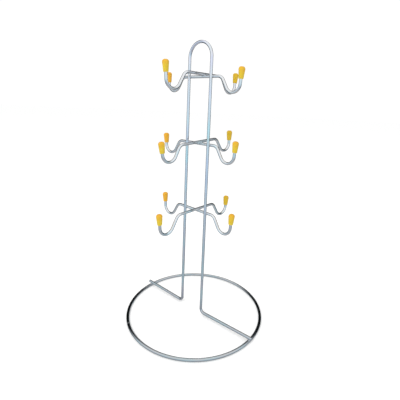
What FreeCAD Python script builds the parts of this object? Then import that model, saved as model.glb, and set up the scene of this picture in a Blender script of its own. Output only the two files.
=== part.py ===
import FreeCAD, Part

# Mug tree: a free-standing stand of plated round wire with twelve hooks for mugs.
#
# A closed ring of wire lies on the table. One hairpin of the same wire stands on it: an upright, a
# half-round carry loop and an upright, in one upright plane, with a foot bent out from each upright's lower
# end. The feet turn a little out of that plane and rise from their bends to the ring. Each of the three tiers
# holds two arms, bent at both ends into hooks. The lengthwise arm runs along the hairpin's plane, welded
# across the rear of both uprights. The crosswise arm runs through the window between them, welded on top of
# the lengthwise arm. Each hook ends in a tapered push-on cap. The hooks are bent by hand, so each has a depth
# and a stem of its own.
#
# Frame: millimetres, origin at the base ring's centre on the table, +Z up, +X along the hairpin's plane
# towards its right foot, +Y to the rear. Welded wires meet in saddles of the other wire's own radius.

import math
import os

import Sketcher
from FreeCAD import Placement, Rotation, Vector

# Driving dimensions, in mm and degrees. Each name becomes an alias in the document's sheet.
DIMENSIONS = {
    "wire_diameter": 4.0,
    "weld_set_down": 0.8,  # how far two crossing wires sink into each other at a weld
    "wire_end_rounding": 0.6,
    "ring_radius": 98.0,  # to the middle of the wire
    "frame_centre": -7.5,  # x of the window's middle
    "upright_spacing": 40.0,  # between the middles of the uprights
    "frame_height": 388.0,  # to the middle of the wire at the top of the carry loop
    "foot_bend_radius": 6.0,
    "foot_bend_height": 3.5,  # of the wire's middle at the lowest point of its bend
    "foot_turn": 3.0,  # anticlockwise from above, each foot about its own upright
    "left_foot_length": 77.0,  # from the middle of its upright, measured level
    "right_foot_length": 88.5,
    "lower_height": 156.5,  # of each tier's lengthwise arm
    "middle_height": 253.5,
    "top_height": 343.5,
    "lower_lengthwise_shift": -2.5,  # how far each arm is welded off centre, along its own length
    "middle_lengthwise_shift": -3.0,
    "top_lengthwise_shift": 0.0,
    "lower_crosswise_shift": -4.0,
    "middle_crosswise_shift": -3.5,
    "top_crosswise_shift": 2.0,
    "lower_tilt": 1.0,  # how far each tier's crosswise arm is welded out of level, rear end up
    "middle_tilt": 4.0,
    "top_tilt": 0.0,
    "crosswise_offset": 4.0,  # from the window's middle to the crosswise arms
    "shoulder_reach": 35.5,  # from an arm's middle to the corner where it turns down
    "shoulder_radius": 9.0,
    "slope_angle": 59.0,  # below level
    "hook_radius": 11.5,
    "lower_left_depth": 20.0,  # from the arm down to the middle of the wire at the hook's lowest point
    "lower_right_depth": 20.5,
    "lower_front_depth": 21.5,
    "lower_rear_depth": 21.0,
    "middle_left_depth": 19.5,
    "middle_right_depth": 20.5,
    "middle_front_depth": 19.5,
    "middle_rear_depth": 20.0,
    "top_left_depth": 19.0,
    "top_right_depth": 20.0,
    "top_front_depth": 22.0,
    "top_rear_depth": 21.5,
    "lower_left_stem": 6.0,  # of straight wire between the hook's bend and its cap
    "lower_right_stem": 6.0,
    "lower_front_stem": 5.5,
    "lower_rear_stem": 1.5,
    "middle_left_stem": 2.5,
    "middle_right_stem": 5.0,
    "middle_front_stem": 2.5,
    "middle_rear_stem": 3.5,
    "top_left_stem": 1.5,
    "top_right_stem": 5.5,
    "top_front_stem": 7.5,
    "top_rear_stem": 4.5,
    "tip_lean": 4.0,  # outward, from upright
    "cap_length": 14.5,
    "cap_base_diameter": 6.2,
    "cap_top_diameter": 8.8,
    "cap_bore_depth": 10.0,
    "cap_top_rounding": 3.2,
    "cap_rim_rounding": 0.5,
}
TIERS = ("lower", "middle", "top")
SIDES = {"left": -1, "right": 1, "front": -1, "rear": 1}  # of each hook, along its arm's X
PARTS_FOLDER = "parts"
LARGEST_VOLUME_ERROR = 0.002  # of a swept wire, as a share of its section times its length

doc = FreeCAD.newDocument("MugTree")
sheet = doc.addObject("Spreadsheet::Sheet", "Dimensions")
for row, (alias, value) in enumerate(DIMENSIONS.items(), start=1):
    sheet.set(f"A{row}", alias)
    sheet.set(f"B{row}", str(value))
    sheet.setAlias(f"B{row}", alias)
doc.recompute()


def size(alias):
    """A driving dimension, read from the sheet."""
    return float(sheet.get(alias))


def welded_gap():
    """Distance between the middles of two wires that cross at a weld."""
    return size("wire_diameter") - size("weld_set_down")


def upright_position(place):
    """X of the middle of the left or the right upright."""
    return size("frame_centre") + SIDES[place] * size("upright_spacing") / 2


def upright_expression(place):
    return f"Dimensions.frame_centre + {SIDES[place]} * Dimensions.upright_spacing / 2"


def bend_top():
    """Height where the uprights end and the bends into the feet begin."""
    return size("foot_bend_height") + size("foot_bend_radius")


# ---------------------------------------------------------------- helpers for bodies and sketches


def new_body(label):
    body = doc.addObject("PartDesign::Body", label)
    body.Label = label
    return body


def origin_feature(body, role):
    return next(feature for feature in body.Origin.OriginFeatures if feature.Role == role)


def new_sketch(body, name, plane):
    sketch = body.newObject("Sketcher::SketchObject", f"{body.Name}_{name}")
    sketch.AttachmentSupport = (origin_feature(body, plane), "")
    sketch.MapMode = "FlatFace"
    return sketch


def constrain(sketch, name, constraint, expression):
    """Add a dimension to a sketch and bind it to the sheet."""
    index = sketch.addConstraint(constraint)
    sketch.renameConstraint(index, name)
    sketch.setExpression(f"Constraints.{name}", expression)


def add_line(sketch, start, end):
    return sketch.addGeometry(Part.LineSegment(start, end), False)


def add_arc(sketch, centre, radius, first_angle, last_angle):
    """Anticlockwise arc between two angles in degrees."""
    circle = Part.Circle(centre, Vector(0, 0, 1), radius)
    arc = Part.ArcOfCircle(circle, math.radians(first_angle), math.radians(last_angle))
    return sketch.addGeometry(arc, False)


def add_wire_section(sketch, across, up, across_expression=None, up_expression=None):
    """Circle of the wire's diameter, its centre dimensioned from the sketch's origin."""
    centre = Vector(across, up, 0)
    circle = sketch.addGeometry(Part.Circle(centre, Vector(0, 0, 1), size("wire_diameter") / 2), False)
    tag = f"section{circle}"
    constrain(sketch, f"{tag}_diameter", Sketcher.Constraint("Diameter", circle, size("wire_diameter")),
              "Dimensions.wire_diameter")
    if across_expression is None:
        sketch.addConstraint(Sketcher.Constraint("PointOnObject", circle, 3, -2))
    else:
        constrain(sketch, f"{tag}_across", Sketcher.Constraint("DistanceX", -1, 1, circle, 3, across),
                  across_expression)
    if up_expression is None:
        sketch.addConstraint(Sketcher.Constraint("PointOnObject", circle, 3, -1))
    else:
        constrain(sketch, f"{tag}_up", Sketcher.Constraint("DistanceY", -1, 1, circle, 3, up), up_expression)


def sweep_wire(body, name, section, path):
    """Add a length of wire to a body, and check that its whole path was followed."""
    pipe = body.newObject("PartDesign::AdditivePipe", f"{body.Name}_{name}")
    pipe.Profile = section
    pipe.Spine = (path, [])
    doc.recompute()
    wire_area = math.pi * size("wire_diameter") ** 2 / 4
    expected = wire_area * path.Shape.Length
    volume = pipe.AddSubShape.Volume
    if abs(volume - expected) > LARGEST_VOLUME_ERROR * expected:
        raise RuntimeError(f"{pipe.Label}: wire volume {volume:.1f}, expected {expected:.1f}")
    return pipe


def cut_feature(body, kind, name, before):
    """New Pocket or Groove, ready to be set up, which has to leave less volume than the feature before it."""
    cut = body.newObject(f"PartDesign::{kind}", f"{body.Name}_{name}")
    cuts.append((cut, before))
    return cut


def circular_edges(shape, radius, centre=None):
    """Names of a shape's full circular edges of a radius, all of them or those about one centre."""
    names = []
    for number, edge in enumerate(shape.Edges, start=1):
        curve = edge.Curve
        if not isinstance(curve, Part.Circle) or abs(curve.Radius - radius) > 1e-4:
            continue
        if centre is None or curve.Center.distanceToPoint(centre) < 1e-4:
            names.append(f"Edge{number}")
    return names


def round_edges(body, name, base, edges, radius_expression):
    fillet = body.newObject("PartDesign::Fillet", f"{body.Name}_{name}")
    fillet.Base = (base, edges)
    fillet.setExpression("Radius", radius_expression)
    doc.recompute()
    return fillet


cuts = []


# ---------------------------------------------------------------- base ring


def build_base_ring():
    """One wire bent to a closed ring that lies on the table."""
    body = new_body("base_ring")
    section = new_sketch(body, "section", "XZ_Plane")
    add_wire_section(section, size("ring_radius"), size("wire_diameter") / 2,
                     "Dimensions.ring_radius", "Dimensions.wire_diameter / 2")
    ring = body.newObject("PartDesign::Revolution", "base_ring_turn")
    ring.Profile = section
    ring.ReferenceAxis = (section, ["V_Axis"])
    ring.Angle = 360
    doc.recompute()
    return body


# ---------------------------------------------------------------- upright frame


def draw_hairpin_path(sketch):
    """Middle of the hairpin's wire: upright, carry loop, upright."""
    half = size("upright_spacing") / 2
    left = upright_position("left")
    right = upright_position("right")
    bottom = bend_top()
    spring_line = size("frame_height") - half

    left_upright = add_line(sketch, Vector(left, bottom, 0), Vector(left, spring_line, 0))
    loop = add_arc(sketch, Vector(size("frame_centre"), spring_line, 0), half, 0, 180)
    right_upright = add_line(sketch, Vector(right, spring_line, 0), Vector(right, bottom, 0))
    sketch.addConstraint(Sketcher.Constraint("Tangent", left_upright, 2, loop, 2))
    sketch.addConstraint(Sketcher.Constraint("Tangent", loop, 1, right_upright, 1))
    for upright in (left_upright, right_upright):
        sketch.addConstraint(Sketcher.Constraint("Vertical", upright))

    bottom_rule = "Dimensions.foot_bend_height + Dimensions.foot_bend_radius"
    constrain(sketch, "left_bottom", Sketcher.Constraint("DistanceY", -1, 1, left_upright, 1, bottom),
              bottom_rule)
    constrain(sketch, "right_bottom", Sketcher.Constraint("DistanceY", -1, 1, right_upright, 2, bottom),
              bottom_rule)
    constrain(sketch, "loop_radius", Sketcher.Constraint("Radius", loop, half),
              "Dimensions.upright_spacing / 2")
    constrain(sketch, "loop_centre", Sketcher.Constraint("DistanceX", -1, 1, loop, 3, size("frame_centre")),
              "Dimensions.frame_centre")
    constrain(sketch, "loop_height", Sketcher.Constraint("DistanceY", -1, 1, loop, 3, spring_line),
              "Dimensions.frame_height - Dimensions.upright_spacing / 2")


def draw_foot_path(sketch, place):
    """Middle of a foot's wire, outward from its upright: a bend, then a straight that rises to the ring."""
    bend = size("foot_bend_radius")
    length = size(f"{place}_foot_length")
    ring_reach = size("ring_radius") - abs(upright_position(place))
    over_ring = Vector(ring_reach, size("wire_diameter") / 2 + welded_gap(), 0)
    bend_centre = Vector(bend, bend_top(), 0)
    reach = over_ring - bend_centre
    rise = math.asin(bend / reach.Length) - math.atan2(-reach.y, reach.x)
    line_start = bend_centre + Vector(math.sin(rise), -math.cos(rise), 0) * bend
    line_end = Vector(length, over_ring.y + (length - over_ring.x) * math.tan(rise), 0)

    curve = add_arc(sketch, bend_centre, bend, 180, 270 + math.degrees(rise))
    straight = add_line(sketch, line_start, line_end)
    rest = sketch.addGeometry(Part.Point(over_ring), True)
    sketch.addConstraint(Sketcher.Constraint("PointOnObject", curve, 1, -2))
    sketch.addConstraint(Sketcher.Constraint("Horizontal", curve, 1, curve, 3))
    sketch.addConstraint(Sketcher.Constraint("Tangent", curve, 2, straight, 1))
    sketch.addConstraint(Sketcher.Constraint("PointOnObject", rest, 1, straight))

    constrain(sketch, "bend_radius", Sketcher.Constraint("Radius", curve, bend),
              "Dimensions.foot_bend_radius")
    constrain(sketch, "bend_top", Sketcher.Constraint("DistanceY", -1, 1, curve, 3, bend_top()),
              "Dimensions.foot_bend_height + Dimensions.foot_bend_radius")
    constrain(sketch, "ring_reach", Sketcher.Constraint("DistanceX", -1, 1, rest, 1, ring_reach),
              f"Dimensions.ring_radius - abs({upright_expression(place)})")
    constrain(sketch, "rest_height", Sketcher.Constraint("DistanceY", -1, 1, rest, 1, over_ring.y),
              "Dimensions.wire_diameter * 3 / 2 - Dimensions.weld_set_down")
    constrain(sketch, "length", Sketcher.Constraint("DistanceX", -1, 1, straight, 2, length),
              f"Dimensions.{place}_foot_length")


def upright_section(body, name, place):
    """Section of the wire where an upright meets the bend into its foot."""
    section = new_sketch(body, name, "XY_Plane")
    section.setExpression("AttachmentOffset.Base.z",
                          "Dimensions.foot_bend_height + Dimensions.foot_bend_radius")
    add_wire_section(section, upright_position(place), 0, upright_expression(place), None)
    return section


def add_foot(body, place):
    """Sweep a foot in a plane turned about its upright. Returns the sweep and the middle of its cut end."""
    section = upright_section(body, f"{place}_foot_section", place)
    path = new_sketch(body, f"{place}_foot_path", "XZ_Plane")
    outward = {"left": 180, "right": 0}[place]
    turn = Rotation(Vector(0, 1, 0), outward + size("foot_turn"))
    path.AttachmentOffset = Placement(Vector(upright_position(place), 0, 0), turn)
    path.setExpression("AttachmentOffset.Base.x", upright_expression(place))
    path.setExpression("AttachmentOffset.Rotation.Angle", f"{outward}deg + Dimensions.foot_turn * 1deg")
    draw_foot_path(path, place)
    foot = sweep_wire(body, f"{place}_foot", section, path)
    cut_end = max((vertex.Point for vertex in path.Shape.Vertexes), key=lambda point: abs(point.x))
    return foot, cut_end


def build_upright_frame():
    """Hairpin and feet in one wire, with rounded ends and a saddle where each foot lies on the ring."""
    body = new_body("upright_frame")
    section = upright_section(body, "hairpin_section", "left")
    path = new_sketch(body, "hairpin_path", "XZ_Plane")
    draw_hairpin_path(path)
    sweep_wire(body, "hairpin", section, path)
    _left_foot, left_end = add_foot(body, "left")
    wire, right_end = add_foot(body, "right")

    wire_radius = size("wire_diameter") / 2
    end_edges = circular_edges(wire.Shape, wire_radius, left_end)
    end_edges += circular_edges(wire.Shape, wire_radius, right_end)
    rounded = round_edges(body, "cut_ends", wire, end_edges, "Dimensions.wire_end_rounding")

    saddle_sketch = new_sketch(body, "ring_section", "XZ_Plane")
    add_wire_section(saddle_sketch, size("ring_radius"), wire_radius,
                     "Dimensions.ring_radius", "Dimensions.wire_diameter / 2")
    saddles = cut_feature(body, "Groove", "ring_saddles", rounded)
    saddles.Profile = saddle_sketch
    saddles.ReferenceAxis = (saddle_sketch, ["V_Axis"])
    saddles.Angle = 360
    doc.recompute()
    return body


# ---------------------------------------------------------------- arms


def hook_points(tier, place):
    """Corners and centres of the path out to one hook, as (outward, up) points from the arm's middle."""
    slope = math.radians(size("slope_angle"))
    lean = math.radians(size("tip_lean"))
    shoulder = size("shoulder_radius")
    hook = size("hook_radius")
    straight_end = Vector(size("shoulder_reach") - shoulder * math.tan(slope / 2), 0, 0)
    shoulder_centre = straight_end - Vector(0, shoulder, 0)
    slope_start = shoulder_centre + Vector(math.sin(slope), math.cos(slope), 0) * shoulder
    slope_end_height = hook - size(f"{tier}_{place}_depth") - hook * math.cos(slope)
    slope_run = (slope_start.y - slope_end_height) / math.tan(slope)
    slope_end = Vector(slope_start.x + slope_run, slope_end_height, 0)
    hook_centre = slope_end + Vector(math.sin(slope), math.cos(slope), 0) * hook
    stem_start = hook_centre + Vector(math.cos(lean), -math.sin(lean), 0) * hook
    tip_direction = Vector(math.sin(lean), math.cos(lean), 0)
    cap_seat = stem_start + tip_direction * size(f"{tier}_{place}_stem")
    return {
        "straight_end": straight_end,
        "shoulder_centre": shoulder_centre,
        "slope_start": slope_start,
        "slope_end": slope_end,
        "hook_centre": hook_centre,
        "stem_start": stem_start,
        "cap_seat": cap_seat,
        "wire_end": cap_seat + tip_direction * size("cap_bore_depth"),
    }


def draw_hook_path(sketch, tier, place):
    """Middle of the wire from the arm's middle outward: level run, shoulder, slope, hook bend and stem."""
    at = hook_points(tier, place)
    slope = size("slope_angle")
    lean = size("tip_lean")
    level = add_line(sketch, Vector(0, 0, 0), at["straight_end"])
    shoulder = add_arc(sketch, at["shoulder_centre"], size("shoulder_radius"), 90 - slope, 90)
    slope_line = add_line(sketch, at["slope_start"], at["slope_end"])
    hook = add_arc(sketch, at["hook_centre"], size("hook_radius"), 270 - slope, 360 - lean)
    stem = add_line(sketch, at["stem_start"], at["wire_end"])

    sketch.addConstraint(Sketcher.Constraint("Coincident", level, 1, -1, 1))
    sketch.addConstraint(Sketcher.Constraint("Horizontal", level))
    joints = (
        (level, 2, shoulder, 2),
        (shoulder, 1, slope_line, 1),
        (slope_line, 2, hook, 1),
        (hook, 2, stem, 1),
    )
    for joint in joints:
        sketch.addConstraint(Sketcher.Constraint("Tangent", *joint))

    constrain(sketch, "shoulder_radius", Sketcher.Constraint("Radius", shoulder, size("shoulder_radius")),
              "Dimensions.shoulder_radius")
    constrain(sketch, "hook_radius", Sketcher.Constraint("Radius", hook, size("hook_radius")),
              "Dimensions.hook_radius")
    shoulder_run = "Dimensions.shoulder_radius * tan(Dimensions.slope_angle * 1deg / 2)"
    constrain(sketch, "level_run", Sketcher.Constraint("DistanceX", level, 1, level, 2, at["straight_end"].x),
              f"Dimensions.shoulder_reach - {shoulder_run}")
    constrain(sketch, "slope_angle", Sketcher.Constraint("Angle", slope_line, math.radians(-slope)),
              "-Dimensions.slope_angle * 1deg")
    constrain(sketch, "hook_height", Sketcher.Constraint("DistanceY", -1, 1, hook, 3, at["hook_centre"].y),
              f"Dimensions.hook_radius - Dimensions.{tier}_{place}_depth")
    constrain(sketch, "stem_angle", Sketcher.Constraint("Angle", stem, math.radians(90 - lean)),
              "90deg - Dimensions.tip_lean * 1deg")
    stem_run = size(f"{tier}_{place}_stem") + size("cap_bore_depth")
    constrain(sketch, "stem_run", Sketcher.Constraint("Distance", stem, stem_run),
              f"Dimensions.{tier}_{place}_stem + Dimensions.cap_bore_depth")


def build_arm(tier, kind, places):
    """A wire with a hook at each end, its middle on its body's origin, lying along its body's X."""
    body = new_body(f"{tier}_{kind}_arm")
    for place in places:
        section = new_sketch(body, f"{place}_section", "YZ_Plane")
        add_wire_section(section, 0, 0)
        path = new_sketch(body, f"{place}_path", "XZ_Plane")
        if SIDES[place] < 0:
            path.AttachmentOffset = Placement(Vector(0, 0, 0), Rotation(Vector(0, 1, 0), 180))
        draw_hook_path(path, tier, place)
        wire = sweep_wire(body, f"{place}_half", section, path)
    return body, wire


def cut_saddles(body, before, plane, sections):
    """Cut a saddle for each (across, up, across_expression, up_expression) wire that crosses the arm."""
    sketch = new_sketch(body, "crossing_wires", plane)
    for section in sections:
        add_wire_section(sketch, *section)
    saddles = cut_feature(body, "Pocket", "saddles", before)
    saddles.Profile = sketch
    saddles.Type = "Length"
    saddles.SideType = "Symmetric"
    saddles.setExpression("Length", "Dimensions.wire_diameter * 3")
    doc.recompute()


def lengthwise_placement(tier):
    middle = size("frame_centre") + size(f"{tier}_lengthwise_shift")
    return Placement(Vector(middle, welded_gap(), size(f"{tier}_height")), Rotation())


def crosswise_placement(tier):
    """Along Y, on top of the lengthwise arm, tilted about that arm's middle line."""
    crossing = Vector(size("frame_centre") + size("crosswise_offset"), welded_gap(), size(f"{tier}_height"))
    turn = Rotation(Vector(0, 0, 1), 90)
    tilt = Rotation(Vector(0, 1, 0), -size(f"{tier}_tilt"))
    middle = Vector(size(f"{tier}_crosswise_shift"), 0, welded_gap())
    return Placement(crossing, turn * tilt) * Placement(middle, Rotation())


def build_lengthwise_arm(tier):
    """Welded across the rear of both uprights, which are round and stand upright in front of it."""
    body, wire = build_arm(tier, "lengthwise", ("left", "right"))
    gap = "Dimensions.weld_set_down - Dimensions.wire_diameter"
    sections = []
    for side in (-1, 1):
        across = side * size("upright_spacing") / 2 - size(f"{tier}_lengthwise_shift")
        across_expression = f"{side} * Dimensions.upright_spacing / 2 - Dimensions.{tier}_lengthwise_shift"
        sections.append((across, -welded_gap(), across_expression, gap))
    cut_saddles(body, wire, "XY_Plane", sections)
    body.Placement = lengthwise_placement(tier)
    return body


def build_crosswise_arm(tier):
    """Welded on top of the lengthwise arm, which passes square beneath it."""
    body, wire = build_arm(tier, "crosswise", ("front", "rear"))
    gap = "Dimensions.weld_set_down - Dimensions.wire_diameter"
    shift = f"{tier}_crosswise_shift"
    crossing = (-size(shift), -welded_gap(), f"-Dimensions.{shift}", gap)
    cut_saddles(body, wire, "XZ_Plane", [crossing])
    body.Placement = crosswise_placement(tier)
    return body


# ---------------------------------------------------------------- tip caps


def build_cap(label, placement):
    """Tapered plastic cap with a rounded top and a blind bore for the wire, its mouth at the origin."""
    body = new_body(label)
    length = size("cap_length")
    depth = size("cap_bore_depth")
    bore = size("wire_diameter") / 2
    base = size("cap_base_diameter") / 2
    top = size("cap_top_diameter") / 2

    outline = new_sketch(body, "outline", "XZ_Plane")
    corners = [(bore, 0), (base, 0), (top, length), (0, length), (0, depth), (bore, depth)]
    points = [Vector(x, z, 0) for x, z in corners]
    lines = [add_line(outline, start, end) for start, end in zip(points, points[1:] + points[:1])]
    for line, following in zip(lines, lines[1:] + lines[:1]):
        outline.addConstraint(Sketcher.Constraint("Coincident", line, 2, following, 1))
    mouth, _side, crown, axis, bore_end, bore_wall = lines
    for level in (mouth, crown, bore_end):
        outline.addConstraint(Sketcher.Constraint("Horizontal", level))
    outline.addConstraint(Sketcher.Constraint("Vertical", bore_wall))
    outline.addConstraint(Sketcher.Constraint("PointOnObject", mouth, 1, -1))
    for end in (1, 2):
        outline.addConstraint(Sketcher.Constraint("PointOnObject", axis, end, -2))
    distances = (
        ("bore_radius", "DistanceX", mouth, 1, bore, "Dimensions.wire_diameter / 2"),
        ("base_radius", "DistanceX", mouth, 2, base, "Dimensions.cap_base_diameter / 2"),
        ("top_radius", "DistanceX", crown, 1, top, "Dimensions.cap_top_diameter / 2"),
        ("length", "DistanceY", crown, 2, length, "Dimensions.cap_length"),
        ("bore_depth", "DistanceY", axis, 2, depth, "Dimensions.cap_bore_depth"),
    )
    for name, kind, line, end, distance, expression in distances:
        constrain(outline, name, Sketcher.Constraint(kind, -1, 1, line, end, distance), expression)

    turned = body.newObject("PartDesign::Revolution", f"{body.Name}_turn")
    turned.Profile = outline
    turned.ReferenceAxis = (outline, ["V_Axis"])
    turned.Angle = 360
    doc.recompute()
    top_edge = circular_edges(turned.Shape, top, Vector(0, 0, length))
    crowned = round_edges(body, "crown", turned, top_edge, "Dimensions.cap_top_rounding")
    rim_edge = circular_edges(crowned.Shape, base, Vector(0, 0, 0))
    round_edges(body, "rim", crowned, rim_edge, "Dimensions.cap_rim_rounding")
    body.Placement = placement
    return body


def cap_placement(tier, place, arm_placement):
    """Where the cap of one hook sits, on the arm that the hook ends."""
    seat = hook_points(tier, place)["cap_seat"]
    lean = Rotation(Vector(0, 1, 0), SIDES[place] * size("tip_lean"))
    return arm_placement * Placement(Vector(SIDES[place] * seat.x, 0, seat.y), lean)


# ---------------------------------------------------------------- the whole stand

sub_parts = [build_base_ring(), build_upright_frame()]
for tier in TIERS:
    sub_parts.append(build_lengthwise_arm(tier))
    sub_parts.append(build_crosswise_arm(tier))
    for place, arm_placement in (
        ("left", lengthwise_placement(tier)),
        ("right", lengthwise_placement(tier)),
        ("front", crosswise_placement(tier)),
        ("rear", crosswise_placement(tier)),
    ):
        sub_parts.append(build_cap(f"{tier}_{place}_cap", cap_placement(tier, place, arm_placement)))
doc.recompute()

for item in doc.Objects:
    if "Invalid" in item.State or "Error" in item.State:
        raise RuntimeError(f"{item.Label} failed: {item.State}")
    if item.isDerivedFrom("Sketcher::SketchObject") and not item.FullyConstrained:
        raise RuntimeError(f"{item.Label} is not fully constrained")
for cut, before in cuts:
    if cut.Shape.Volume >= before.Shape.Volume:
        raise RuntimeError(f"{cut.Label} cuts nothing")
for part in sub_parts:
    if part.Shape.isNull() or not part.Shape.isValid() or len(part.Shape.Solids) != 1:
        raise RuntimeError(f"{part.Label} is not one valid solid")

os.makedirs(PARTS_FOLDER, exist_ok=True)
for part in sub_parts:
    part.Shape.exportStep(os.path.join(PARTS_FOLDER, f"{part.Label}.step"))
    box = part.Shape.BoundBox
    print(f"{part.Label}: {part.Shape.Volume:.1f} mm3, x {box.XMin:.2f}..{box.XMax:.2f},"
          f" y {box.YMin:.2f}..{box.YMax:.2f}, z {box.ZMin:.2f}..{box.ZMax:.2f}")
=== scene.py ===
import math
from dataclasses import dataclass

import bmesh
import bpy
import numpy as np
from mathutils import Matrix, Vector


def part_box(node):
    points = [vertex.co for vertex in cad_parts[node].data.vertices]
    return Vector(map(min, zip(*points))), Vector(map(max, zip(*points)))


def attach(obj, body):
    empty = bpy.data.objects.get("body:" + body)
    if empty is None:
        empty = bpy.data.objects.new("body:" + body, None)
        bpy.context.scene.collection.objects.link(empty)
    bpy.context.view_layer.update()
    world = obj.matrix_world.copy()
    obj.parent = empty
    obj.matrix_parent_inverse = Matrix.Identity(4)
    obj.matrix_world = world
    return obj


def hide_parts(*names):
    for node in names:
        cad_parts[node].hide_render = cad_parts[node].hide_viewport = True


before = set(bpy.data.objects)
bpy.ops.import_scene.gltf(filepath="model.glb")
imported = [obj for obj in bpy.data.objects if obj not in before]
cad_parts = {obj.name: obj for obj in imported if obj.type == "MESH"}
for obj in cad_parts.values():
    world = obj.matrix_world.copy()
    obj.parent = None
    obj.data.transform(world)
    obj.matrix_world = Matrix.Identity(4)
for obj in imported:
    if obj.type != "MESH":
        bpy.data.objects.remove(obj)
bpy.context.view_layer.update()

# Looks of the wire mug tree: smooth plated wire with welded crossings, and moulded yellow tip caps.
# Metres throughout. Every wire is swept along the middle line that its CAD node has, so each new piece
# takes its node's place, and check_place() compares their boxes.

MM = 0.001

# ---------------------------------------------------------------- sizes shared with the CAD model

WIRE_RADIUS = 2.0 * MM
WELD_GAP = 3.2 * MM  # between the middles of two welded wires
FOOT_BEND = 6.0 * MM
FOOT_BEND_HEIGHT = 3.5 * MM  # of the wire's middle at the lowest point of its bend
FOOT_TURN = math.radians(3.0)  # of each foot about its own upright
FOOT_LENGTH = {-1: 77.0 * MM, 1: 88.5 * MM}  # left and right, from the upright's middle
UPRIGHT_SPACING = 40.0 * MM
FRAME_CENTRE = -7.5 * MM
CROSSWISE_OFFSET = 4.0 * MM
SHOULDER_REACH = 35.5 * MM
SHOULDER_RADIUS = 9.0 * MM
SLOPE = math.radians(59.0)
HOOK_RADIUS = 11.5 * MM
TIP_LEAN = math.radians(4.0)
CAP_LENGTH = 14.5 * MM
CAP_BORE_DEPTH = 10.0 * MM
CAP_BASE_RADIUS = 3.1 * MM
CAP_TOP_RADIUS = 4.4 * MM
CAP_CROWN_ROUNDING = 3.2 * MM
CAP_RIM_ROUNDING = 0.5 * MM
HOOKS = {  # each hook's depth below its arm, and the length of its straight stem, both in mm
    ("lower", "left"): (20.0, 6.0),
    ("lower", "right"): (20.5, 6.0),
    ("lower", "front"): (21.5, 5.5),
    ("lower", "rear"): (21.0, 1.5),
    ("middle", "left"): (19.5, 2.5),
    ("middle", "right"): (20.5, 5.0),
    ("middle", "front"): (19.5, 2.5),
    ("middle", "rear"): (20.0, 3.5),
    ("top", "left"): (19.0, 1.5),
    ("top", "right"): (20.0, 5.5),
    ("top", "front"): (22.0, 7.5),
    ("top", "rear"): (21.5, 4.5),
}
TIERS = ("lower", "middle", "top")
ENDS = {"lengthwise": ("left", "right"), "crosswise": ("front", "rear")}  # of each kind of arm
LENGTHWISE_SHIFT = {"lower": -2.5 * MM, "middle": -3.0 * MM, "top": 0.0}
CROSSWISE_SHIFT = {"lower": -4.0 * MM, "middle": -3.5 * MM, "top": 2.0 * MM}
CROSSWISE_TILT = {"lower": math.radians(1.0), "middle": math.radians(4.0), "top": 0.0}

# ---------------------------------------------------------------- sizes of the finish

WIRE_SIDES = 40
END_ROUNDING = 0.6 * MM
END_ARC_SECTIONS = 6
END_FACE_SHARES = (0.9, 0.5)  # of the flat end's radius, where it has a ring of vertices
WELD_FILLET = 1.5 * MM
FILLET_PASSES = 4
WELD_REACH = 3.0 * MM  # how far from a weld the plating is duller
FINEST_STEP = 0.22 * MM
ARC_STEP = 0.9 * MM
STRAIGHT_STEP = 4.0 * MM
STEP_GROWTH = 0.35  # how fast the steps between sections grow with the distance from a weld
SHORTEST_REST = 1e-9  # of a line or arc, below which its last section is already there
BUTT_WELD_ANGLE = math.radians(-115.0)  # on the base ring, from +X
BUTT_BEAD_HEIGHT = 0.16 * MM
BUTT_BEAD_WIDTH = 0.7 * MM
BUTT_SEAM_DEPTH = 1.6 * BUTT_BEAD_HEIGHT  # below the bead's crest
BUTT_SEAM_WIDTH = 0.3 * BUTT_BEAD_WIDTH
BUTT_DRESSING = 2.5  # how sharply the bead ends where it is dressed flush underneath
PLACE_TOLERANCE = 0.45 * MM


def tier_height(tier):
    """Middle height of a tier's lengthwise arm, from the bottom of its deeper hook."""
    depth = max(HOOKS[tier, place][0] for place in ENDS["lengthwise"]) * MM
    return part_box(f"{tier}_lengthwise_arm")[0].z + WIRE_RADIUS + depth


TIER_HEIGHT = {tier: tier_height(tier) for tier in TIERS}
RING_RADIUS = (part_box("base_ring")[1].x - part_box("base_ring")[0].x) / 2 - WIRE_RADIUS


# ---------------------------------------------------------------- middle lines


@dataclass
class Line:
    start: np.ndarray
    end: np.ndarray
    step: float = STRAIGHT_STEP

    @property
    def length(self):
        return float(np.linalg.norm(self.end - self.start))

    def at(self, distance):
        tangent = (self.end - self.start) / self.length
        return self.start + tangent * distance, tangent


@dataclass
class Arc:
    """Arc in the path's own plane, from one angle to another in radians."""

    centre: np.ndarray
    radius: float
    first: float
    last: float
    step: float = ARC_STEP

    @property
    def length(self):
        return abs(self.last - self.first) * self.radius

    def at(self, distance):
        turn = math.copysign(1.0, self.last - self.first)
        angle = self.first + turn * distance / self.radius
        radial = np.array([math.cos(angle), math.sin(angle)])
        return self.centre + radial * self.radius, turn * np.array([-radial[1], radial[0]])


def point(x, y):
    return np.array([x, y], float)


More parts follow.
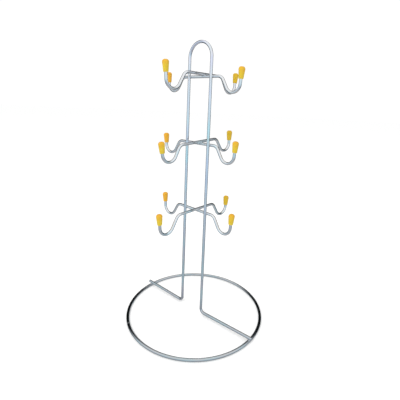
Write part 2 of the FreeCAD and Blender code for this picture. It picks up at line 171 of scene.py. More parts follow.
def hook_points(tier, place):
    """Corners and centres of the middle line out to one hook, as (outward, up) from the arm's middle."""
    hook_depth, stem_length = (value * MM for value in HOOKS[tier, place])
    straight_end = point(SHOULDER_REACH - SHOULDER_RADIUS * math.tan(SLOPE / 2), 0)
    shoulder_centre = straight_end - point(0, SHOULDER_RADIUS)
    normal = point(math.sin(SLOPE), math.cos(SLOPE))
    slope_start = shoulder_centre + normal * SHOULDER_RADIUS
    slope_end_height = HOOK_RADIUS - hook_depth - HOOK_RADIUS * math.cos(SLOPE)
    slope_run = (slope_start[1] - slope_end_height) / math.tan(SLOPE)
    slope_end = point(slope_start[0] + slope_run, slope_end_height)
    hook_centre = slope_end + normal * HOOK_RADIUS
    stem_start = hook_centre + point(math.cos(TIP_LEAN), -math.sin(TIP_LEAN)) * HOOK_RADIUS
    tip = point(math.sin(TIP_LEAN), math.cos(TIP_LEAN))
    cap_seat = stem_start + tip * stem_length
    return {
        "straight_end": straight_end,
        "shoulder_centre": shoulder_centre,
        "slope_start": slope_start,
        "slope_end": slope_end,
        "hook_centre": hook_centre,
        "stem_start": stem_start,
        "cap_seat": cap_seat,
        "wire_end": cap_seat + tip * CAP_BORE_DEPTH,
    }


def half_arm_path(tier, place):
    """Middle line from an arm's middle out to one hook's tip, in its own (outward, up) plane."""
    at = hook_points(tier, place)
    return [
        Line(point(0, 0), at["straight_end"]),
        Arc(at["shoulder_centre"], SHOULDER_RADIUS, math.pi / 2, math.pi / 2 - SLOPE),
        Line(at["slope_start"], at["slope_end"]),
        Arc(at["hook_centre"], HOOK_RADIUS, 1.5 * math.pi - SLOPE, 2 * math.pi - TIP_LEAN),
        Line(at["stem_start"], at["wire_end"]),
    ]


def arm_path(tier, kind):
    """Whole middle line of an arm, from its left or front tip to the other one."""
    low_end, high_end = ENDS[kind]
    flip = np.array([-1.0, 1.0])
    mirrored = []
    for piece in reversed(half_arm_path(tier, low_end)):
        if isinstance(piece, Line):
            mirrored.append(Line(piece.end * flip, piece.start * flip))
        else:
            first, last = math.pi - piece.last, math.pi - piece.first
            mirrored.append(Arc(piece.centre * flip, piece.radius, first, last))
    return mirrored + half_arm_path(tier, high_end)


def upright_position(side):
    """X of the middle of the left (-1) or the right (1) upright, or of the window between them (0)."""
    return FRAME_CENTRE + side * UPRIGHT_SPACING / 2


def foot_points(side):
    """Middle line of a foot, which rises from its bend to the ring, as (outward, up) from its upright."""
    ring_reach = RING_RADIUS - abs(upright_position(side))
    over_ring = point(ring_reach, WIRE_RADIUS + WELD_GAP)
    bend_centre = point(FOOT_BEND, FOOT_BEND_HEIGHT + FOOT_BEND)
    reach = over_ring - bend_centre
    rise = math.asin(FOOT_BEND / np.linalg.norm(reach)) - math.atan2(-reach[1], reach[0])
    line_start = bend_centre + point(math.sin(rise), -math.cos(rise)) * FOOT_BEND
    length = FOOT_LENGTH[side]
    line_end = point(length, over_ring[1] + (length - ring_reach) * math.tan(rise))
    return rise, bend_centre, line_start, line_end


def frame_path():
    """Middle line of the hairpin in its (x, z) plane: foot, bend, upright, loop, upright, bend, foot."""
    half = UPRIGHT_SPACING / 2
    left = upright_position(-1)
    right = upright_position(1)
    bend_top = FOOT_BEND_HEIGHT + FOOT_BEND
    spring_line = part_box("upright_frame")[1].z - WIRE_RADIUS - half
    left_rise, *left_points = foot_points(-1)
    right_rise, *right_points = foot_points(1)
    left_centre, left_start, left_end = (point(left - p[0], p[1]) for p in left_points)
    right_centre, right_start, right_end = (point(right + p[0], p[1]) for p in right_points)
    return [
        Line(left_end, left_start),
        Arc(left_centre, FOOT_BEND, -math.pi / 2 - left_rise, 0),
        Line(point(left, bend_top), point(left, spring_line)),
        Arc(point(FRAME_CENTRE, spring_line), half, math.pi, 0),
        Line(point(right, spring_line), point(right, bend_top)),
        Arc(right_centre, FOOT_BEND, math.pi, 1.5 * math.pi + right_rise),
        Line(right_start, right_end),
    ]


def ring_path():
    return [Arc(point(0, 0), RING_RADIUS, BUTT_WELD_ANGLE, BUTT_WELD_ANGLE + 2 * math.pi)]


# ---------------------------------------------------------------- planes that the middle lines lie in


@dataclass
class WirePlane:
    """A plane in the world, by its origin and the two directions that flat points are counted along."""

    origin: np.ndarray
    along: np.ndarray
    up: np.ndarray

    def place(self, flat):
        return self.origin + self.along * flat[0] + self.up * flat[1]

    def forward(self, _flat, tangent):
        return self.along * tangent[0] + self.up * tangent[1]

    def normal(self, _flat):
        return np.cross(self.up, self.along)


class HairpinPlane:
    """The hairpin's plane, turned about each upright for the foot that lies beyond it."""

    def fold(self, flat):
        side = int(flat[0] > upright_position(1)) - int(flat[0] < upright_position(-1))
        turn = FOOT_TURN * abs(side)
        return upright_position(side), np.array([math.cos(turn), math.sin(turn), 0])

    def place(self, flat):
        hinge, along = self.fold(flat)
        return np.array([hinge, 0, flat[1]]) + along * (flat[0] - hinge)

    def forward(self, flat, tangent):
        return self.fold(flat)[1] * tangent[0] + np.array([0, 0, tangent[1]])

    def normal(self, flat):
        return np.cross(np.array([0, 0, 1.0]), self.fold(flat)[1])


# ---------------------------------------------------------------- welds


@dataclass
class StraightWire:
    """A straight stretch of another wire, as what a weld fillet runs up to."""

    through: np.ndarray
    along: np.ndarray
    one_way: bool = False  # runs from its point in one direction only

    def gap(self, places):
        """Distance from each place to this wire's surface, negative inside it."""
        offset = places - self.through
        reach = offset @ self.along
        if self.one_way:
            reach = np.maximum(reach, 0)
        return np.linalg.norm(offset - np.outer(reach, self.along), axis=1) - WIRE_RADIUS


class RingWire:
    def gap(self, places):
        sideways = np.hypot(places[:, 0], places[:, 1]) - RING_RADIUS
        return np.hypot(sideways, places[:, 2] - WIRE_RADIUS) - WIRE_RADIUS


def nearest_gap(places, neighbours):
    if not neighbours:
        return np.full(len(places), 1.0)
    return np.min([neighbour.gap(places) for neighbour in neighbours], axis=0)


# ---------------------------------------------------------------- swept wire


@dataclass
class Section:
    """One ring of vertices: its place along the wire, its middle, its two cross axes and its radius."""

    distance: float
    middle: np.ndarray
    side: np.ndarray
    rise: np.ndarray
    radius: float


def walk(path, plane, neighbours):
    """Sections along a path, close together at welds and bends and far apart on plain straights."""
    places = []
    start = 0.0
    for piece in path:
        reached = 0.0
        while reached < piece.length - SHORTEST_REST:
            flat, tangent = piece.at(reached)
            places.append((start + reached, flat, tangent))
            near = nearest_gap(np.array([plane.place(flat)]), neighbours)[0]
            step = min(piece.step, max(FINEST_STEP, STEP_GROWTH * (near - WELD_REACH)))
            left = piece.length - reached
            steps_left = max(1, math.ceil(left / step))
            reached += left / steps_left
        start += piece.length
    flat, tangent = path[-1].at(path[-1].length)
    places.append((start, flat, tangent))

    sections = []
    for distance, flat, tangent in places:
        normal = plane.normal(flat)
        rise = np.cross(normal, plane.forward(flat, tangent))
        sections.append(Section(distance, plane.place(flat), normal, rise, WIRE_RADIUS))
    return sections


def round_end(section, forward, towards):
    """Extra sections that close a cut wire with a rounded edge. towards is -1 at the start, 1 at the end."""
    extra = []
    for turn in np.linspace(0, math.pi / 2, END_ARC_SECTIONS):
        back = END_ROUNDING * (1 - math.sin(turn))
        radius = WIRE_RADIUS - END_ROUNDING * (1 - math.cos(turn))
        middle = section.middle - towards * forward * back
        extra.append(Section(section.distance - towards * back, middle, section.side, section.rise, radius))
    for share in END_FACE_SHARES:
        last = extra[-1]
        flat_radius = (WIRE_RADIUS - END_ROUNDING) * share
        extra.append(Section(last.distance, last.middle, section.side, section.rise, flat_radius))
    return extra


def sweep(name, path, plane, neighbours=(), closed=False, shape=None):
    """Mesh object of a wire. shape may move its vertices: it gets places, outward directions, distances."""
    sections = walk(path, plane, neighbours)
    total = sections[-1].distance
    if closed:
        sections = sections[:-1]
    else:
        first, last = sections[0], sections[-1]
        start_forward = np.cross(first.rise, first.side)
        end_forward = np.cross(last.rise, last.side)
        inner = [s for s in sections if END_ROUNDING < s.distance < total - END_ROUNDING]
        start = list(reversed(round_end(first, start_forward, -1)))
        sections = start + inner + round_end(last, end_forward, 1)

    angles = np.arange(WIRE_SIDES) * 2 * math.pi / WIRE_SIDES
    outward = np.array([[math.cos(a) * s.side + math.sin(a) * s.rise for a in angles] for s in sections])
    outward = outward.reshape(-1, 3)
    middles = np.repeat(np.array([s.middle for s in sections]), WIRE_SIDES, axis=0)
    radii = np.repeat(np.array([s.radius for s in sections]), WIRE_SIDES)
    distances = np.repeat(np.array([s.distance for s in sections]), WIRE_SIDES)
    places = middles + outward * radii[:, None]
    gap = nearest_gap(places, neighbours)
    fillet = np.zeros(len(places))
    for _ in range(FILLET_PASSES):
        blend = np.clip(WELD_FILLET - np.abs(fillet - gap), 0, None)
        fillet = blend**2 / (4 * WELD_FILLET)
        gap = nearest_gap(places + outward * fillet[:, None], neighbours)
    places = places + outward * fillet[:, None]
    if shape is not None:
        places = shape(places, outward, distances)

    count = len(sections)
    faces = []
    spans = []
    for row in range(count if closed else count - 1):
        following = (row + 1) % count
        for column in range(WIRE_SIDES):
            beside = (column + 1) % WIRE_SIDES
            faces.append((row * WIRE_SIDES + column, row * WIRE_SIDES + beside,
                          following * WIRE_SIDES + beside, following * WIRE_SIDES + column))
            spans.append((row, column))
    vertices = [tuple(place) for place in places]
    if not closed:
        for row, order in ((0, 1), (count - 1, -1)):
            centre = len(vertices)
            vertices.append(tuple(sections[row].middle))
            for column in range(WIRE_SIDES):
                beside = (column + 1) % WIRE_SIDES
                corners = (row * WIRE_SIDES + beside, row * WIRE_SIDES + column, centre)
                faces.append(corners[::order])
                spans.append((row, column))

    mesh = bpy.data.meshes.new(name)
    mesh.from_pydata(vertices, [], faces)
    weld = np.clip(1 - nearest_gap(np.array(vertices), neighbours) / WELD_REACH, 0, 1)
    add_attribute(mesh, "weld", weld)
    lay_uv(mesh, sections, spans, total, closed)
    mesh.validate()
    mesh.polygons.foreach_set("use_smooth", [True] * len(mesh.polygons))
    mesh.update()
    return link(name, mesh)


def add_attribute(mesh, name, values):
    attribute = mesh.attributes.new(name, "FLOAT", "POINT")
    attribute.data.foreach_set("value", np.asarray(values, np.float32))


def lay_uv(mesh, sections, spans, total, closed):
    """U runs along the wire in metres and V around it in turns, so that drawn lines follow the wire."""
    layer = mesh.uv_layers.new(name="along_wire")
    count = len(sections)
    uv = []
    for polygon, (row, column) in zip(mesh.polygons, spans):
        here = sections[row].distance
        if closed and row == count - 1:
            there = total
        else:
            there = sections[min(row + 1, count - 1)].distance
        low, high = column / WIRE_SIDES, (column + 1) / WIRE_SIDES
        if len(polygon.vertices) == 3:
            uv += [(here, low), (here, high), (here, low)]
        else:
            uv += [(here, low), (here, high), (there, high), (there, low)]
    layer.data.foreach_set("uv", np.array(uv, np.float32).ravel())


def link(name, mesh):
    piece = bpy.data.objects.new(name, mesh)
    bpy.context.scene.collection.objects.link(piece)
    return piece


def check_place(piece, node):
    """Stop if a new piece doesn't lie where its CAD node does."""
    low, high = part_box(node)
    places = np.array([v.co for v in piece.data.vertices])
    error = max(np.abs(places.min(0) - np.array(low)).max(), np.abs(places.max(0) - np.array(high)).max())
    if error > PLACE_TOLERANCE:
        raise RuntimeError(f"{piece.name} is {error / MM:.2f} mm out of place")


def finish_piece(piece, node, material):
    check_place(piece, node)
    piece.data.materials.append(material)
    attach(piece, "root")
    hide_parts(node)


# ---------------------------------------------------------------- the wires


def raise_butt_weld(places, outward, distances):
    """A low bead with a fine seam where the ring's ends meet, dressed flush underneath."""
    round_the_ring = 2 * math.pi * RING_RADIUS
    away = np.minimum(distances, round_the_ring - distances)
    bead = BUTT_BEAD_HEIGHT * np.exp(-((away / BUTT_BEAD_WIDTH) ** 2))
    seam = BUTT_SEAM_DEPTH * np.exp(-((away / BUTT_SEAM_WIDTH) ** 2))
    dressed = np.clip(1 + outward[:, 2] * BUTT_DRESSING, 0, 1)
    return places + outward * ((bead - seam) * dressed)[:, None]


def foot_line(side):
    """The straight of a foot, from its bend outward."""
    _rise, _bend_centre, line_start, line_end = foot_points(side)
    plane = HairpinPlane()
    upright = upright_position(side)
    start, end = (plane.place(point(upright + side * p[0], p[1])) for p in (line_start, line_end))
    return StraightWire(start, (end - start) / np.linalg.norm(end - start), one_way=True)


def build_ring(material):
    plane = WirePlane(np.array([0, 0, WIRE_RADIUS]), np.array([1.0, 0, 0]), np.array([0, 1.0, 0]))
    neighbours = [foot_line(-1), foot_line(1), ButtWeldPlace()]
    ring = sweep("plated_base_ring", ring_path(), plane, neighbours, closed=True, shape=raise_butt_weld)
    finish_piece(ring, "base_ring", material)


class ButtWeldPlace:
    """Makes sections close together at the butt weld, without a fillet: it is never nearer than one."""

    def gap(self, places):
        centre = RING_RADIUS * np.array([math.cos(BUTT_WELD_ANGLE), math.sin(BUTT_WELD_ANGLE), 0])
        return np.maximum(np.linalg.norm(places - centre, axis=1) - WIRE_RADIUS, WELD_FILLET)


def lengthwise_line(tier):
    return StraightWire(np.array([0, WELD_GAP, TIER_HEIGHT[tier]]), np.array([1.0, 0, 0]))


def upright_lines():
    up = np.array([0, 0, 1.0])
    return [StraightWire(np.array([upright_position(side), 0, 0]), up) for side in (-1, 1)]


def build_frame(material):
    neighbours = [RingWire()] + [lengthwise_line(tier) for tier in TIERS]
    hairpin = sweep("plated_upright_frame", frame_path(), HairpinPlane(), neighbours)
    finish_piece(hairpin, "upright_frame", material)


def lengthwise_matrix(tier):
    return Matrix.Translation((FRAME_CENTRE + LENGTHWISE_SHIFT[tier], WELD_GAP, TIER_HEIGHT[tier]))


def crosswise_matrix(tier):
    """Along Y, on top of the lengthwise arm, tilted about that arm's middle line."""
    crossing = Matrix.Translation((FRAME_CENTRE + CROSSWISE_OFFSET, WELD_GAP, TIER_HEIGHT[tier]))
    turn = Matrix.Rotation(math.pi / 2, 4, "Z")
    tilt = Matrix.Rotation(-CROSSWISE_TILT[tier], 4, "Y")
    return crossing @ turn @ tilt @ Matrix.Translation((CROSSWISE_SHIFT[tier], 0, WELD_GAP))


def crosswise_line(tier):
    matrix = crosswise_matrix(tier)
    along = (matrix.to_3x3() @ Vector((1, 0, 0))).normalized()
    return StraightWire(np.array(matrix.translation), np.array(along))


def build_arm(tier, kind, matrix, neighbours, material):
    node = f"{tier}_{kind}_arm"
    turn = matrix.to_3x3()
    plane = WirePlane(
        np.array(matrix.translation),
        np.array((turn @ Vector((1, 0, 0))).normalized()),
        np.array((turn @ Vector((0, 0, 1))).normalized()),
    )
    arm = sweep(f"plated_{node}", arm_path(tier, kind), plane, neighbours)
    finish_piece(arm, node, material)


# ---------------------------------------------------------------- the caps

CAP_SIDES = 64
CAP_MOUTH_CHAMFER = 0.25 * MM
CAP_WALL_STEP = 0.5 * MM
BORE_STEP = 1.0 * MM
BORE_END_RING = 0.6  # of the bore's radius, where its end has a ring of vertices
RIM_SECTIONS = 6
CROWN_SECTIONS = 14
CROWN_EDGE = math.radians(80)  # how far the crown's rounding turns before the dome takes over
DOME_SECTIONS = 10
PLACE_TURN = 0.7  # radians that the parting line turns from one cap of a tier to the next
TIER_TURN = 1.9  # and from one tier to the next
PARTING_RIDGE = 0.07 * MM
PARTING_WIDTH = math.radians(4.0)
GATE_RADIUS = 0.9 * MM
GATE_DEPTH = 0.22 * MM
CROWN_RISE = 0.35 * MM  # how far the crown's middle stands above its edge, inside the cap's length
CAP_PAINTED_LIGHT = {"left": 0.9, "right": 0.15, "front": 0.0, "rear": 0.75}  # how far painted light turns each cap's colour: warm orange light on the left caps, darker olive shade on the rear ones, a little olive on the right ones


def cap_outline():
    """(radius, height) points of a cap: from its bore's end down the bore, round the rim, over the crown."""
    outline = [(0.0, CAP_BORE_DEPTH), (WIRE_RADIUS * BORE_END_RING, CAP_BORE_DEPTH)]
    for height in np.arange(CAP_BORE_DEPTH, CAP_MOUTH_CHAMFER, -BORE_STEP):
        outline.append((WIRE_RADIUS, height))
    outline += [(WIRE_RADIUS, CAP_MOUTH_CHAMFER), (WIRE_RADIUS + CAP_MOUTH_CHAMFER, 0.0)]
    rim = CAP_RIM_ROUNDING
    for turn in np.linspace(0, math.pi / 2, RIM_SECTIONS):
        outline.append((CAP_BASE_RADIUS - rim + rim * math.sin(turn), rim - rim * math.cos(turn)))
    lean = math.atan2(CAP_TOP_RADIUS - CAP_BASE_RADIUS, CAP_LENGTH)
    rounding = CAP_CROWN_ROUNDING
    side_top = CAP_LENGTH - CROWN_RISE - rounding * (1 - math.sin(lean))
    for height in np.arange(rim + CAP_WALL_STEP, side_top, CAP_WALL_STEP):
        outline.append((CAP_BASE_RADIUS + height * math.tan(lean), height))
    shoulder = CAP_BASE_RADIUS + side_top * math.tan(lean)
    centre = (shoulder - rounding * math.cos(lean), side_top + rounding * math.sin(lean))
    for turn in np.linspace(-lean, CROWN_EDGE, CROWN_SECTIONS):
        outline.append((centre[0] + rounding * math.cos(turn), centre[1] + rounding * math.sin(turn)))
    edge_radius, edge_height = outline[-1]
    for share in np.linspace(0.9, 0.0, DOME_SECTIONS):
        radius = edge_radius * share
        dome = (CAP_LENGTH - edge_height) * (1 - share**2)
        gate = GATE_DEPTH * math.exp(-((radius / GATE_RADIUS) ** 4))
        outline.append((radius, edge_height + dome - gate))
    return outline


def cap_mesh(name, turn, painted_light):
    """A moulded cap standing on its mouth, with its parting line turned by an angle, and with an amount of
    painted light from 0 to 1.
    """
    outline = cap_outline()
    vertices = []
    height_share = []
    for radius, height in outline[1:-1]:
        outside = radius > CAP_BASE_RADIUS - CAP_RIM_ROUNDING and height > CAP_RIM_ROUNDING
        for column in range(CAP_SIDES):
            angle = column * 2 * math.pi / CAP_SIDES + turn
            from_parting = math.remainder(angle - turn, math.pi)
            ridge = PARTING_RIDGE * math.exp(-((from_parting / PARTING_WIDTH) ** 2)) if outside else 0.0
            reach = min(radius + ridge, CAP_TOP_RADIUS)
            vertices.append((reach * math.cos(angle), reach * math.sin(angle), height))
            height_share.append(height / CAP_LENGTH)
    faces = []
    rows = len(outline) - 2
    for row in range(rows - 1):
        for column in range(CAP_SIDES):
            beside = (column + 1) % CAP_SIDES
            faces.append((row * CAP_SIDES + column, row * CAP_SIDES + beside,
                          (row + 1) * CAP_SIDES + beside, (row + 1) * CAP_SIDES + column))
    for row, (radius, height), order in ((0, outline[0], 1), (rows - 1, outline[-1], -1)):
        centre = len(vertices)
        vertices.append((0.0, 0.0, height))
        height_share.append(height / CAP_LENGTH)
        for column in range(CAP_SIDES):
            beside = (column + 1) % CAP_SIDES
            corners = (row * CAP_SIDES + beside, row * CAP_SIDES + column, centre)
            faces.append(corners[::order])
    mesh = bpy.data.meshes.new(name)
    mesh.from_pydata(vertices, [], faces)
    add_attribute(mesh, "height_share", height_share)
    add_attribute(mesh, "painted_light", [painted_light] * len(vertices))
    mesh.validate()
    mesh.polygons.foreach_set("use_smooth", [True] * len(mesh.polygons))
    mesh.update()
    return mesh


def build_cap(tier, place, arm_matrix, side, turn, material):
    """A cap on the hook at one end of an arm, side being -1 or 1 along the arm's own X."""
    node = f"{tier}_{place}_cap"
    seat = hook_points(tier, place)["cap_seat"]
    lean = Matrix.Rotation(side * TIP_LEAN, 4, "Y")
    mesh = cap_mesh(f"moulded_{node}", turn, CAP_PAINTED_LIGHT[place])
    mesh.transform(arm_matrix @ Matrix.Translation((side * seat[0], 0, seat[1])) @ lean)
    mesh.update()
    cap = link(f"moulded_{node}", mesh)
    finish_piece(cap, node, material)


# ---------------------------------------------------------------- materials


class Nodes:
    """Short names for building a material's node tree."""

    def __init__(self, name):
        self.material = bpy.data.materials.new(name)
        self.material.use_nodes = True
        self.tree = self.material.node_tree
        self.shader = self.tree.nodes["Principled BSDF"]

    def new(self, kind, **settings):
        node = self.tree.nodes.new(kind)
        for name, value in settings.items():
            setattr(node, name, value)
        return node

    def wire(self, source, target):
        self.tree.links.new(source, target)

    def noise(self, vector, scale, detail=2.0, roughness=0.5):
        node = self.new("ShaderNodeTexNoise")
        node.inputs["Scale"].default_value = scale
        node.inputs["Detail"].default_value = detail
        node.inputs["Roughness"].default_value = roughness
        self.wire(vector, node.inputs["Vector"])
        return node.outputs["Fac"]

    def ramp(self, value, stops):
        """Colour ramp from (position, colour) stops."""
        node = self.new("ShaderNodeValToRGB")
        elements = node.color_ramp.elements
        while len(elements) < len(stops):
            elements.new(0.5)
        for element, (position, colour) in zip(elements, stops):
            element.position = position
            element.color = (*colour, 1.0)
        self.wire(value, node.inputs["Fac"])
        return node.outputs["Color"]

    def range(self, value, low, high, new_low, new_high):
        node = self.new("ShaderNodeMapRange")
        for name, number in zip(("From Min", "From Max", "To Min", "To Max"), (low, high, new_low, new_high)):
            node.inputs[name].default_value = number
        self.wire(value, node.inputs["Value"])
        return node.outputs["Result"]

    def math(self, operation, first, second):
        node = self.new("ShaderNodeMath", operation=operation)
        for socket, value in zip(node.inputs, (first, second)):
            if isinstance(value, (int, float)):
                socket.default_value = value
            else:
                self.wire(value, socket)
        return node.outputs["Value"]

    def mix(self, factor, first, second):
        node = self.new("ShaderNodeMix", data_type="RGBA")
        self.wire(factor, node.inputs["Factor"])
        for socket, value in zip((node.inputs[6], node.inputs[7]), (first, second)):
            if isinstance(value, tuple):
                socket.default_value = (*value, 1.0)
            else:
                self.wire(value, socket)
        return node.outputs[2]

    def attribute(self, name):
        node = self.new("ShaderNodeAttribute", attribute_name=name)
        return node.outputs["Fac"]

    def bump(self, height, strength, distance, normal=None):
        node = self.new("ShaderNodeBump")
        node.inputs["Strength"].default_value = strength
        node.inputs["Distance"].default_value = distance
        self.wire(height, node.inputs["Height"])
        if normal is not None:
            self.wire(normal, node.inputs["Normal"])
        return node.outputs["Normal"]


CLOUD = (0.70, 0.72, 0.75)
# Painted shade: dark grey standing in for the darker reflections of the floor and of the wires' own shadows
# low down.
LOW_PAINTED_SHADE = (0.36, 0.37, 0.38)
BARE_WELD = (0.52, 0.54, 0.56)
BLUE_PAINTED_REFLECTIONS = [  # place in a soft noise, and the painted reflection colour there: reflected sky-blue, lavender and cyan painted into the plating
    (0.36, (0.83, 0.83, 0.94)),
    (0.46, (0.87, 0.88, 0.92)),
    (0.54, (0.83, 0.89, 0.93)),
    (0.64, (0.74, 0.92, 0.95)),
]
# Painted reflection: paler, mostly grey reflected colour for the other wires, with a cyan patch at the top of
# the ramp.
GREY_PAINTED_REFLECTIONS = [
    (0.36, (0.86, 0.86, 0.87)),
    (0.50, (0.87, 0.88, 0.88)),
    (0.58, (0.84, 0.87, 0.88)),
    (0.66, (0.76, 0.91, 0.94)),
]


def make_plated_wire(name, painted_reflection_colours):
    """Bright plating over drawn wire: faint drawn lines, painted reflection tints, dull welds, and painted
    shade low down.
    """
    nodes = Nodes(name)
    uv = nodes.new("ShaderNodeUVMap", uv_map="along_wire").outputs["UV"]
    stretch = nodes.new("ShaderNodeMapping")
    stretch.inputs["Scale"].default_value = (40.0, 34.0, 1.0)
    nodes.wire(uv, stretch.inputs["Vector"])
    lines = nodes.noise(stretch.outputs["Vector"], 1.0, detail=3.0, roughness=0.6)
    place = nodes.new("ShaderNodeTexCoord").outputs["Object"]
    clouds = nodes.noise(place, 60.0, detail=4.0)
    specks = nodes.noise(place, 1400.0, detail=1.0)
    weld = nodes.attribute("weld")

    axes = nodes.new("ShaderNodeSeparateXYZ")
    nodes.wire(place, axes.inputs["Vector"])
    # Painted reflection: patches of reflected sky-blue, lavender and cyan painted into the plating's colour,
    # shifted towards lavender from 240 mm up.
    higher = nodes.range(axes.outputs["Z"], 240.0 * MM, 310.0 * MM, 0.03, -0.10)
    reflection_place = nodes.math("ADD", nodes.noise(place, 32.0, detail=1.0), higher)
    painted_reflection = nodes.ramp(reflection_place, painted_reflection_colours)
    clouded = nodes.mix(nodes.range(clouds, 0.35, 0.7, 0.0, 0.35), painted_reflection, CLOUD)
    # Painted shade: below 30 mm the ring, the feet and the bottom of the uprights are darkened towards this
    # grey.
    low_shade_share = nodes.range(axes.outputs["Z"], 6.0 * MM, 30.0 * MM, 0.55, 0.0)
    painted_shade_and_wear = nodes.mix(low_shade_share, clouded, LOW_PAINTED_SHADE)
    colour = nodes.mix(nodes.range(weld, 0.2, 1.0, 0.0, 0.7), painted_shade_and_wear, BARE_WELD)
    nodes.wire(colour, nodes.shader.inputs["Base Color"])
    nodes.shader.inputs["Metallic"].default_value = 1.0

    base = nodes.range(clouds, 0.3, 0.75, 0.07, 0.17)
    drawn = nodes.range(lines, 0.35, 0.75, 0.0, 0.07)
    welded = nodes.range(weld, 0.1, 1.0, 0.0, 0.22)
    rough = nodes.math("ADD", nodes.math("ADD", base, drawn), welded)
    nodes.wire(rough, nodes.shader.inputs["Roughness"])

    fine = nodes.bump(lines, 0.25, 0.02 * MM)
    pits = nodes.range(specks, 0.62, 0.72, 0.0, -1.0)
    normal = nodes.bump(pits, 0.3, 0.02 * MM, fine)
    nodes.wire(normal, nodes.shader.inputs["Normal"])
    return nodes.material


CAP_COLOURS = [  # from the cap's mouth to its crown; the crown's deeper orange is partly thicker plastic and partly painted warm light from above
    (0.0, (0.59, 0.46, 0.016)),
    (0.45, (0.62, 0.46, 0.016)),
    (0.80, (0.66, 0.40, 0.016)),
    (1.0, (0.67, 0.34, 0.016)),
]
CAP_LIGHT_AND_SHADE_COLOURS = [(0.75, (0.56, 0.375, 0.003)), (0.9, (0.68, 0.34, 0.010))]  # by painted light: darker olive shade, then warm orange light
CAP_MOTTLE = (0.60, 0.31, 0.008)
CAP_SCUFF = (0.68, 0.52, 0.12)


def make_yellow_cap():
    """Soft moulded plastic: yellow skirt, deeper crown that is partly painted warm light, painted light and
    shade that differ from cap to cap, fine orange peel and a few scuffs.
    """
    nodes = Nodes("yellow_cap")
    place = nodes.new("ShaderNodeTexCoord").outputs["Object"]
    mottle = nodes.noise(place, 220.0, detail=3.0)
    peel = nodes.noise(place, 2600.0, detail=2.0)
    scuffs = nodes.noise(place, 700.0, detail=5.0, roughness=0.7)
    height = nodes.attribute("height_share")

    # Painted light: each cap's colour is pulled towards warm orange light on the left caps and towards darker
    # olive shade on the rear ones.
    painted_light = nodes.attribute("painted_light")
    lit_and_shaded = nodes.mix(painted_light, nodes.ramp(height, CAP_COLOURS), nodes.ramp(painted_light, CAP_LIGHT_AND_SHADE_COLOURS))
    mottled = nodes.mix(nodes.range(mottle, 0.4, 0.75, 0.0, 0.45), lit_and_shaded, CAP_MOTTLE)
    painted_shade_and_wear = nodes.mix(nodes.range(scuffs, 0.62, 0.8, 0.0, 0.35), mottled, CAP_SCUFF)
    nodes.wire(painted_shade_and_wear, nodes.shader.inputs["Base Color"])
    nodes.wire(nodes.range(scuffs, 0.3, 0.8, 0.34, 0.55), nodes.shader.inputs["Roughness"])
    nodes.wire(nodes.bump(peel, 0.25, 0.03 * MM), nodes.shader.inputs["Normal"])
    nodes.shader.inputs["Subsurface Weight"].default_value = 0.12
    nodes.shader.inputs["Subsurface Radius"].default_value = (1.0, 0.5, 0.1)
    nodes.shader.inputs["Subsurface Scale"].default_value = 1.5 * MM
    nodes.shader.inputs["IOR"].default_value = 1.5
    return nodes.material


def make_plain(name, colour, roughness):
    nodes = Nodes(name)
    nodes.shader.inputs["Base Color"].default_value = (*colour, 1.0)
    nodes.shader.inputs["Roughness"].default_value = roughness
    nodes.shader.inputs["Specular IOR Level"].default_value = 0.0
    return nodes.material


# ---------------------------------------------------------------- floor, light and camera

FRONT = Vector((0.645, -0.764, 0.0))  # level direction from the stand to the middle of the near cards
SURROUND_RADIUS = 4.0
NEAR_SIDE = [  # height of the reflected direction, from straight down to straight up, and colour
    (0.00, (0.52, 0.53, 0.55)),
    (0.07, (0.46, 0.47, 0.49)),
    (0.16, (0.40, 0.42, 0.45)),
    (0.27, (0.42, 0.46, 0.51)),
    (0.40, (0.50, 0.64, 0.75)),
    (0.50, (0.64, 0.82, 0.90)),
    (0.60, (0.86, 0.92, 0.99)),
    (0.80, (0.95, 0.96, 0.98)),
    (1.00, (0.92, 0.93, 0.94)),
]
FAR_SIDE = [
    (0.00, (0.52, 0.53, 0.55)),
    (0.10, (0.46, 0.47, 0.49)),
    (0.18, (0.44, 0.45, 0.47)),
    (0.24, (0.36, 0.37, 0.38)),
    (0.28, (0.008, 0.011, 0.013)),
    (0.84, (0.006, 0.008, 0.009)),
    (0.89, (0.40, 0.42, 0.44)),
    (0.94, (0.80, 0.82, 0.84)),
    (1.00, (0.95, 0.96, 0.97)),
]
BACK_CARD = (0.78, 0.81, 0.85)  # a pale card straight behind the stand
CARD_EDGE = (-0.965, -0.99)  # how far from the front its glow begins, and where it is full
SIDES_MEET = (-0.35, 0.10)  # where the far side's colours start to give way, and the near side's are full
FLOOR_RADIUS = 12.0
FLOOR_CORNERS = 64


def add_floor():
    mesh = bpy.data.meshes.new("floor")
    angles = np.arange(FLOOR_CORNERS) * 2 * math.pi / FLOOR_CORNERS
    rim = [(FLOOR_RADIUS * math.cos(a), FLOOR_RADIUS * math.sin(a), 0) for a in angles]
    mesh.from_pydata(rim, [], [tuple(range(FLOOR_CORNERS))])
    mesh.materials.append(make_plain("floor", (0.95, 0.95, 0.95), 0.9))
    floor = link("floor", mesh)
    floor.visible_glossy = False


def add_area_light(name, place, aim, size, power, colour):
    light = bpy.data.lights.new(name, "AREA")
    light.shape = "DISK"
    light.size = size
    light.energy = power
    light.color = colour
    lamp = bpy.data.objects.new(name, light)
    lamp.location = place
    lamp.rotation_euler = (Vector(aim) - Vector(place)).to_track_quat("-Z", "Y").to_euler()
    lamp.visible_camera = False
    lamp.visible_glossy = False
    bpy.context.scene.collection.objects.link(lamp)


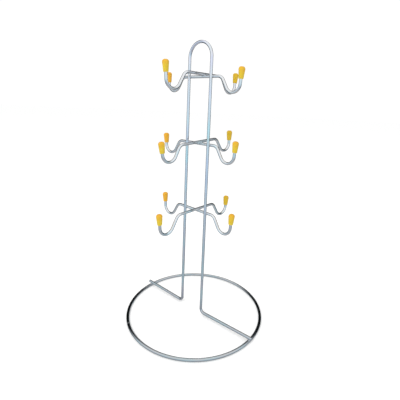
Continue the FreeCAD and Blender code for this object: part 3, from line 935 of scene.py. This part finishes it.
def make_surround_material():
    """Glow by direction: bright to the front and overhead, dark behind but for one narrow card."""
    nodes = Nodes("studio_surround")
    place = nodes.new("ShaderNodeTexCoord").outputs["Object"]
    direction = nodes.new("ShaderNodeVectorMath", operation="NORMALIZE")
    nodes.wire(place, direction.inputs[0])
    parts = nodes.new("ShaderNodeSeparateXYZ")
    nodes.wire(direction.outputs["Vector"], parts.inputs["Vector"])
    height = nodes.range(parts.outputs["Z"], -1.0, 1.0, 0.0, 1.0)
    facing = nodes.new("ShaderNodeVectorMath", operation="DOT_PRODUCT")
    nodes.wire(direction.outputs["Vector"], facing.inputs[0])
    facing.inputs[1].default_value = FRONT
    nearness = nodes.range(facing.outputs["Value"], *SIDES_MEET, 0.0, 1.0)
    sides = nodes.mix(nearness, nodes.ramp(height, FAR_SIDE), nodes.ramp(height, NEAR_SIDE))
    glow = nodes.mix(nodes.range(facing.outputs["Value"], *CARD_EDGE, 0.0, 1.0), sides, BACK_CARD)
    shader = nodes.new("ShaderNodeEmission")
    nodes.wire(glow, shader.inputs["Color"])
    output = nodes.tree.nodes["Material Output"]
    nodes.wire(shader.outputs["Emission"], output.inputs["Surface"])
    nodes.material.cycles.emission_sampling = "NONE"
    return nodes.material


def add_surround():
    """A large sphere that only reflections see, so that the plating has something to mirror."""
    build = bmesh.new()
    bmesh.ops.create_icosphere(build, subdivisions=5, radius=SURROUND_RADIUS)
    mesh = bpy.data.meshes.new("studio_surround")
    build.to_mesh(mesh)
    build.free()
    mesh.materials.append(make_surround_material())
    surround = link("studio_surround", mesh)
    for ray in ("camera", "diffuse", "shadow", "transmission", "volume_scatter"):
        setattr(surround, f"visible_{ray}", False)


def add_world():
    world = bpy.data.worlds.new("studio")
    world.use_nodes = True
    background = world.node_tree.nodes["Background"]
    background.inputs["Color"].default_value = (1.0, 1.0, 1.0, 1.0)
    background.inputs["Strength"].default_value = 1.05
    world.cycles_visibility.glossy = False
    bpy.context.scene.world = world


def add_camera():
    camera = bpy.data.cameras.new("camera")
    camera.sensor_width = 36.0
    camera.lens = 28.37
    camera.shift_x = -0.0348
    camera.shift_y = -0.0910
    heading = math.radians(40.74)
    pitch = math.radians(10.59)
    roll = math.radians(2.74)
    viewpoint = bpy.data.objects.new("camera", camera)
    turn = Matrix.Rotation(heading, 4, "Z") @ Matrix.Rotation(math.pi / 2 - pitch, 4, "X")
    place = Matrix.Translation((0.2947, -0.3135, 0.3076))
    viewpoint.matrix_world = place @ turn @ Matrix.Rotation(roll, 4, "Z")
    bpy.context.scene.collection.objects.link(viewpoint)
    bpy.context.scene.camera = viewpoint


# ---------------------------------------------------------------- the whole object

# The frame's copy of the plating carries the bluer painted reflection.
frame_plating = make_plated_wire("plated_frame_wire", BLUE_PAINTED_REFLECTIONS)
plain_plating = make_plated_wire("plated_wire", GREY_PAINTED_REFLECTIONS)
yellow_cap = make_yellow_cap()

build_ring(plain_plating)
build_frame(frame_plating)
for tier_number, tier in enumerate(TIERS):
    lengthwise = lengthwise_matrix(tier)
    crosswise = crosswise_matrix(tier)
    build_arm(tier, "lengthwise", lengthwise, upright_lines() + [crosswise_line(tier)], plain_plating)
    build_arm(tier, "crosswise", crosswise, [lengthwise_line(tier)], plain_plating)
    caps = [(place, lengthwise, side) for place, side in zip(ENDS["lengthwise"], (-1, 1))]
    caps += [(place, crosswise, side) for place, side in zip(ENDS["crosswise"], (-1, 1))]
    for place_number, (place, matrix, side) in enumerate(caps):
        turn = PLACE_TURN * place_number + TIER_TURN * tier_number
        build_cap(tier, place, matrix, side, turn, yellow_cap)

add_floor()
add_world()
add_surround()
add_area_light("soft_light", (0.1, -1.4, 1.5), (0, 0, 0.2), 1.2, 14.0, (1.0, 0.98, 0.95))
add_camera()
bpy.context.scene.view_settings.view_transform = "Standard"
